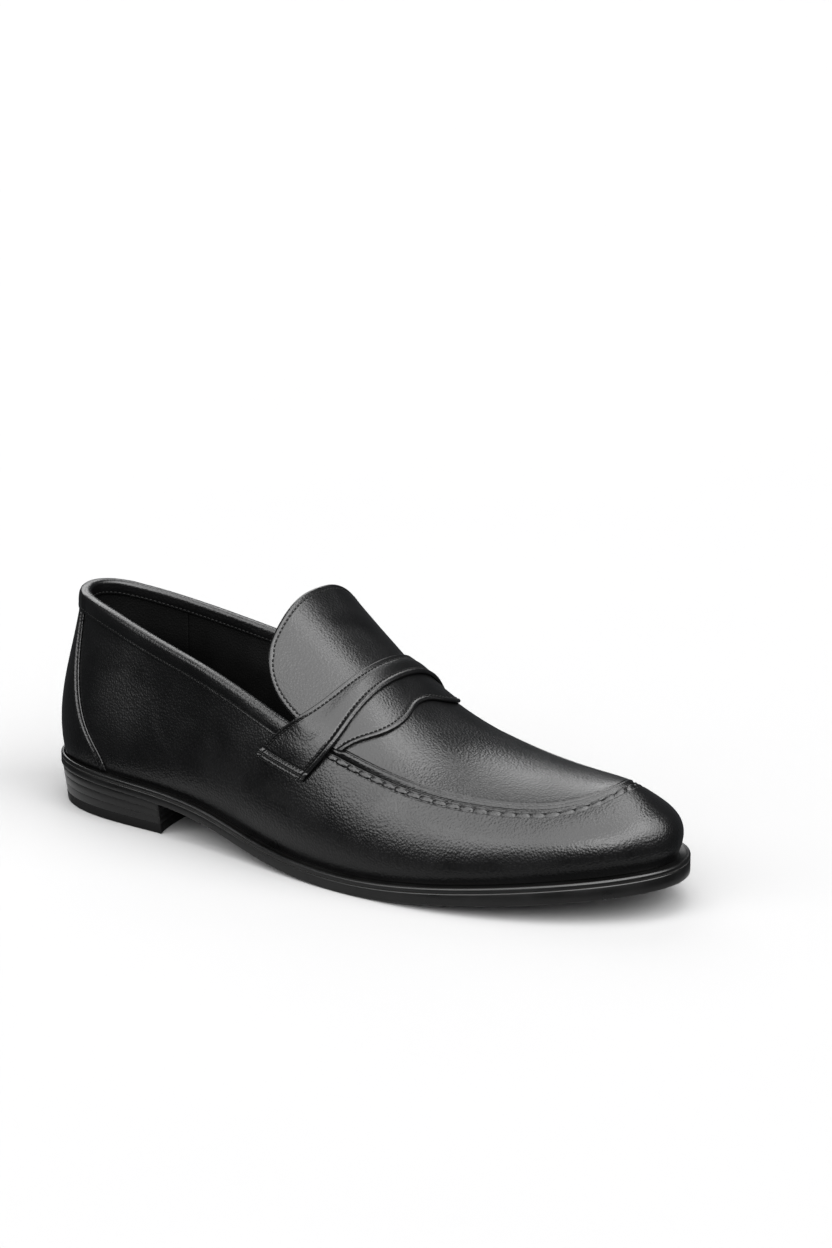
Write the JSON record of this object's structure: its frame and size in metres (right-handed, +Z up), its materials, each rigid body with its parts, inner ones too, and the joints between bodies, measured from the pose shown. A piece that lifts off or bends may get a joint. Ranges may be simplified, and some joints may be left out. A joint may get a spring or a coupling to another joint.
{
  "type": "penny loafer",
  "caption": "Slip-on leather dress shoe with a raised moccasin-seam apron, wide tongue, saddle strap with notched leaf, low stacked heel and a welted leather sole.",
  "frame": {"origin": "centre of the shoe's bounding box in plan, on the floor that the heel and ball rest on", "axes": "+X towards the toe, +Y towards the inner (medial) side, +Z up"},
  "size_m": [0.2957, 0.1021, 0.1057],
  "materials": {
    "black_leather": "fine pebbled satin",
    "black_lining": "smooth matte",
    "sole_leather": "dyed and waxed edge",
    "tan_board": "leather board",
    "cork": "ground cork filler",
    "latex_foam": "soft foam",
    "tip_rubber": "matte rubber",
    "steel": "plain steel"
  },
  "bodies": {
    "root": {"vamp_wall": "black_leather", "back_counter": "black_leather", "apron": "black_leather", "topline_binding": "black_leather", "saddle_strap": "black_leather", "keeper_leaf": "black_leather", "plug_lining": "black_lining", "vamp_lining": "black_lining", "quarter_lining_lateral": "black_lining", "quarter_lining_medial": "black_lining", "heel_grip": "black_lining", "sock_liner": "black_lining", "welt": "sole_leather", "outsole": "sole_leather", "heel_lift_1": "sole_leather", "heel_lift_2": "sole_leather", "heel_lift_3": "sole_leather", "heel_counter_stiffener": "tan_board", "toe_puff": "tan_board", "insole_board": "tan_board", "bottom_filler": "cork", "heel_pad": "latex_foam", "top_lift": "tip_rubber", "shank": "steel", "heel_nail_1": "steel", "heel_nail_2": "steel", "heel_nail_3": "steel", "heel_nail_4": "steel", "heel_nail_5": "steel"}
  },
  "joints": []
}
